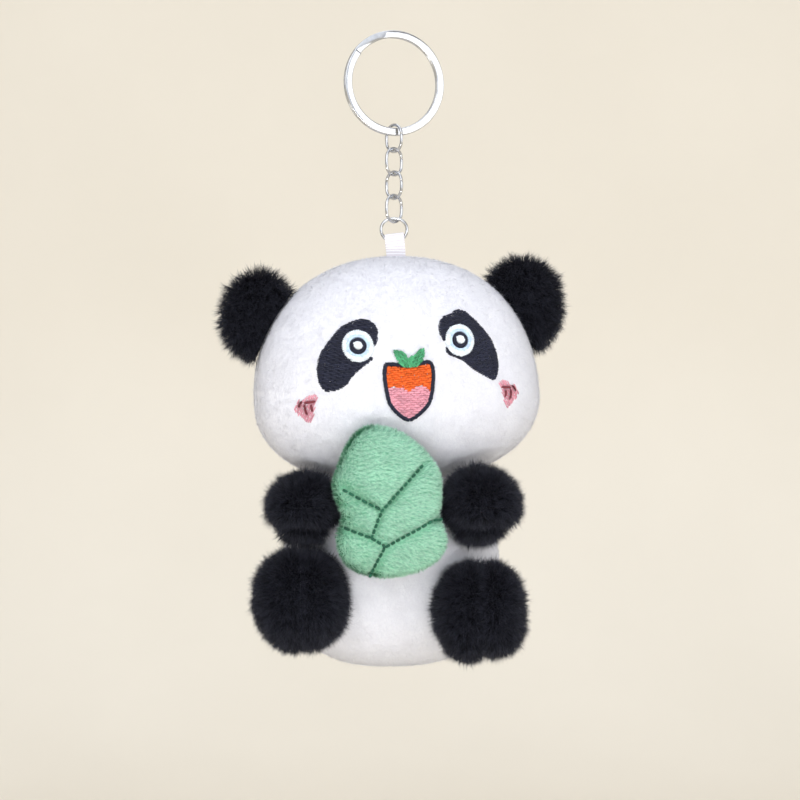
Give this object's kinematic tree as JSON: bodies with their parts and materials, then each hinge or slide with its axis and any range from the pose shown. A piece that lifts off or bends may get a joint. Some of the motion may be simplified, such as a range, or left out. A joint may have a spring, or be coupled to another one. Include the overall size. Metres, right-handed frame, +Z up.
{
  "type": "plush panda charm",
  "caption": "Stuffed panda with black fur ears and limbs, hugging a bamboo shoot cushion, hung by a chain on a split key ring.",
  "frame": {"origin": "top of the split ring's hole, where the ring rests on whatever it hangs from", "axes": "+Z up, along the hanging chain; the panda's belly faces -Y and +X is on the right as seen from the front"},
  "size_m": [0.0963, 0.0718, 0.1816],
  "materials": {
    "steel": "polished nickel plate",
    "ribbon": "ribbed woven ribbon",
    "white_plush": "short-pile plush",
    "black_fur": "long-pile fur",
    "green_plush": "short-pile plush",
    "filling": "polyester fibre",
    "navy_thread": "satin-stitch embroidery",
    "white_thread": "satin-stitch embroidery",
    "blue_thread": "satin-stitch embroidery",
    "orange_thread": "satin-stitch embroidery",
    "pink_thread": "satin-stitch embroidery",
    "green_thread": "satin-stitch embroidery"
  },
  "bodies": {
    "key_ring": {"split_ring": "steel"},
    "link_1": {"chain_link_1": "steel"},
    "link_2": {"chain_link_2": "steel"},
    "link_3": {"chain_link_3": "steel"},
    "link_4": {"chain_link_4": "steel"},
    "tab_ring": {"jump_ring": "steel"},
    "head": {"ribbon_tab": "ribbon", "face_panel": "white_plush", "head_back_panel": "white_plush", "head_stuffing": "filling", "eye_patch_left": "navy_thread", "eye_patch_right": "navy_thread", "eye_ring_left": "blue_thread", "eye_ring_right": "blue_thread", "pupil_left": "navy_thread", "pupil_right": "navy_thread", "eye_highlight_left": "white_thread", "eye_highlight_right": "white_thread", "cheek_left": "pink_thread", "cheek_right": "pink_thread", "mouth_outline": "navy_thread", "mouth_palate": "orange_thread", "tongue": "pink_thread", "nose_leaf": "green_thread"},
    "ear_left": {"ear_left_front_panel": "black_fur", "ear_left_back_panel": "black_fur"},
    "ear_right": {"ear_right_front_panel": "black_fur", "ear_right_back_panel": "black_fur"},
    "torso": {"belly_panel": "white_plush", "body_back_panel": "white_plush", "body_stuffing": "filling", "shoot_front_panel": "green_plush", "shoot_back_panel": "green_plush", "shoot_stuffing": "filling"},
    "arm_left": {"arm_left_lower_panel": "black_fur", "arm_left_upper_panel": "black_fur", "arm_left_stuffing": "filling"},
    "arm_right": {"arm_right_lower_panel": "black_fur", "arm_right_upper_panel": "black_fur", "arm_right_stuffing": "filling"},
    "leg_left": {"leg_left_left_panel": "black_fur", "leg_left_right_panel": "black_fur", "leg_left_stuffing": "filling"},
    "leg_right": {"leg_right_left_panel": "black_fur", "leg_right_right_panel": "black_fur", "leg_right_stuffing": "filling"}
  },
  "joints": [
    {"name": "ring_swing", "type": "hinge", "parent": "key_ring", "child": "link_1", "pos_m": [0, 0, -0.0267], "axis": [0.9397, 0.342, 0], "range_deg": [-40, 40]},
    {"name": "link_1_swing", "type": "hinge", "parent": "link_1", "child": "link_2", "pos_m": [0, 0, -0.03232], "axis": [-0.7071, 0.7071, 0], "range_deg": [-45, 45]},
    {"name": "link_2_swing", "type": "hinge", "parent": "link_2", "child": "link_3", "pos_m": [0, 0, -0.03899], "axis": [0.7071, 0.7071, 0], "range_deg": [-45, 45]},
    {"name": "link_3_swing", "type": "hinge", "parent": "link_3", "child": "link_4", "pos_m": [0, 0, -0.04566], "axis": [0.7071, -0.7071, 0], "range_deg": [-45, 45]},
    {"name": "link_4_swing", "type": "hinge", "parent": "link_4", "child": "tab_ring", "pos_m": [0, 0, -0.05233], "axis": [-0.7071, -0.7071, 0], "range_deg": [-40, 40]},
    {"name": "tab_swing", "type": "hinge", "parent": "tab_ring", "child": "head", "pos_m": [0, 0, -0.0572], "axis": [1, 0, 0], "range_deg": [-25, 25]},
    {"name": "ear_left_flop", "type": "hinge", "parent": "head", "child": "ear_left", "pos_m": [-0.0302, 0.0005, -0.082], "axis": [0.6, 0, 0.8], "range_deg": [-12, 12], "stiffness_Nm_per_rad": 0.01},
    {"name": "ear_right_flop", "type": "hinge", "parent": "head", "child": "ear_right", "pos_m": [0.0325, 0.0095, -0.0795], "axis": [0.6, 0, -0.8], "range_deg": [-12, 12], "stiffness_Nm_per_rad": 0.01},
    {"name": "neck_nod", "type": "hinge", "parent": "head", "child": "torso", "pos_m": [0, 0.004, -0.1288], "axis": [1, 0, 0], "range_deg": [0, 12], "stiffness_Nm_per_rad": 0.15},
    {"name": "arm_left_open", "type": "hinge", "parent": "torso", "child": "arm_left", "pos_m": [-0.026, -0.011, -0.1326], "axis": [0, 0, -1], "range_deg": [0, 18], "stiffness_Nm_per_rad": 0.03},
    {"name": "arm_right_open", "type": "hinge", "parent": "torso", "child": "arm_right", "pos_m": [0.026, -0.011, -0.1326], "axis": [0, 0, 1], "range_deg": [0, 18], "stiffness_Nm_per_rad": 0.03},
    {"name": "leg_left_drop", "type": "hinge", "parent": "torso", "child": "leg_left", "pos_m": [-0.0225, -0.0138, -0.1625], "axis": [1, 0, 0], "range_deg": [0, 12], "stiffness_Nm_per_rad": 0.03},
    {"name": "leg_right_drop", "type": "hinge", "parent": "torso", "child": "leg_right", "pos_m": [0.0215, -0.0138, -0.1645], "axis": [1, 0, 0], "range_deg": [0, 12], "stiffness_Nm_per_rad": 0.03}
  ]
}
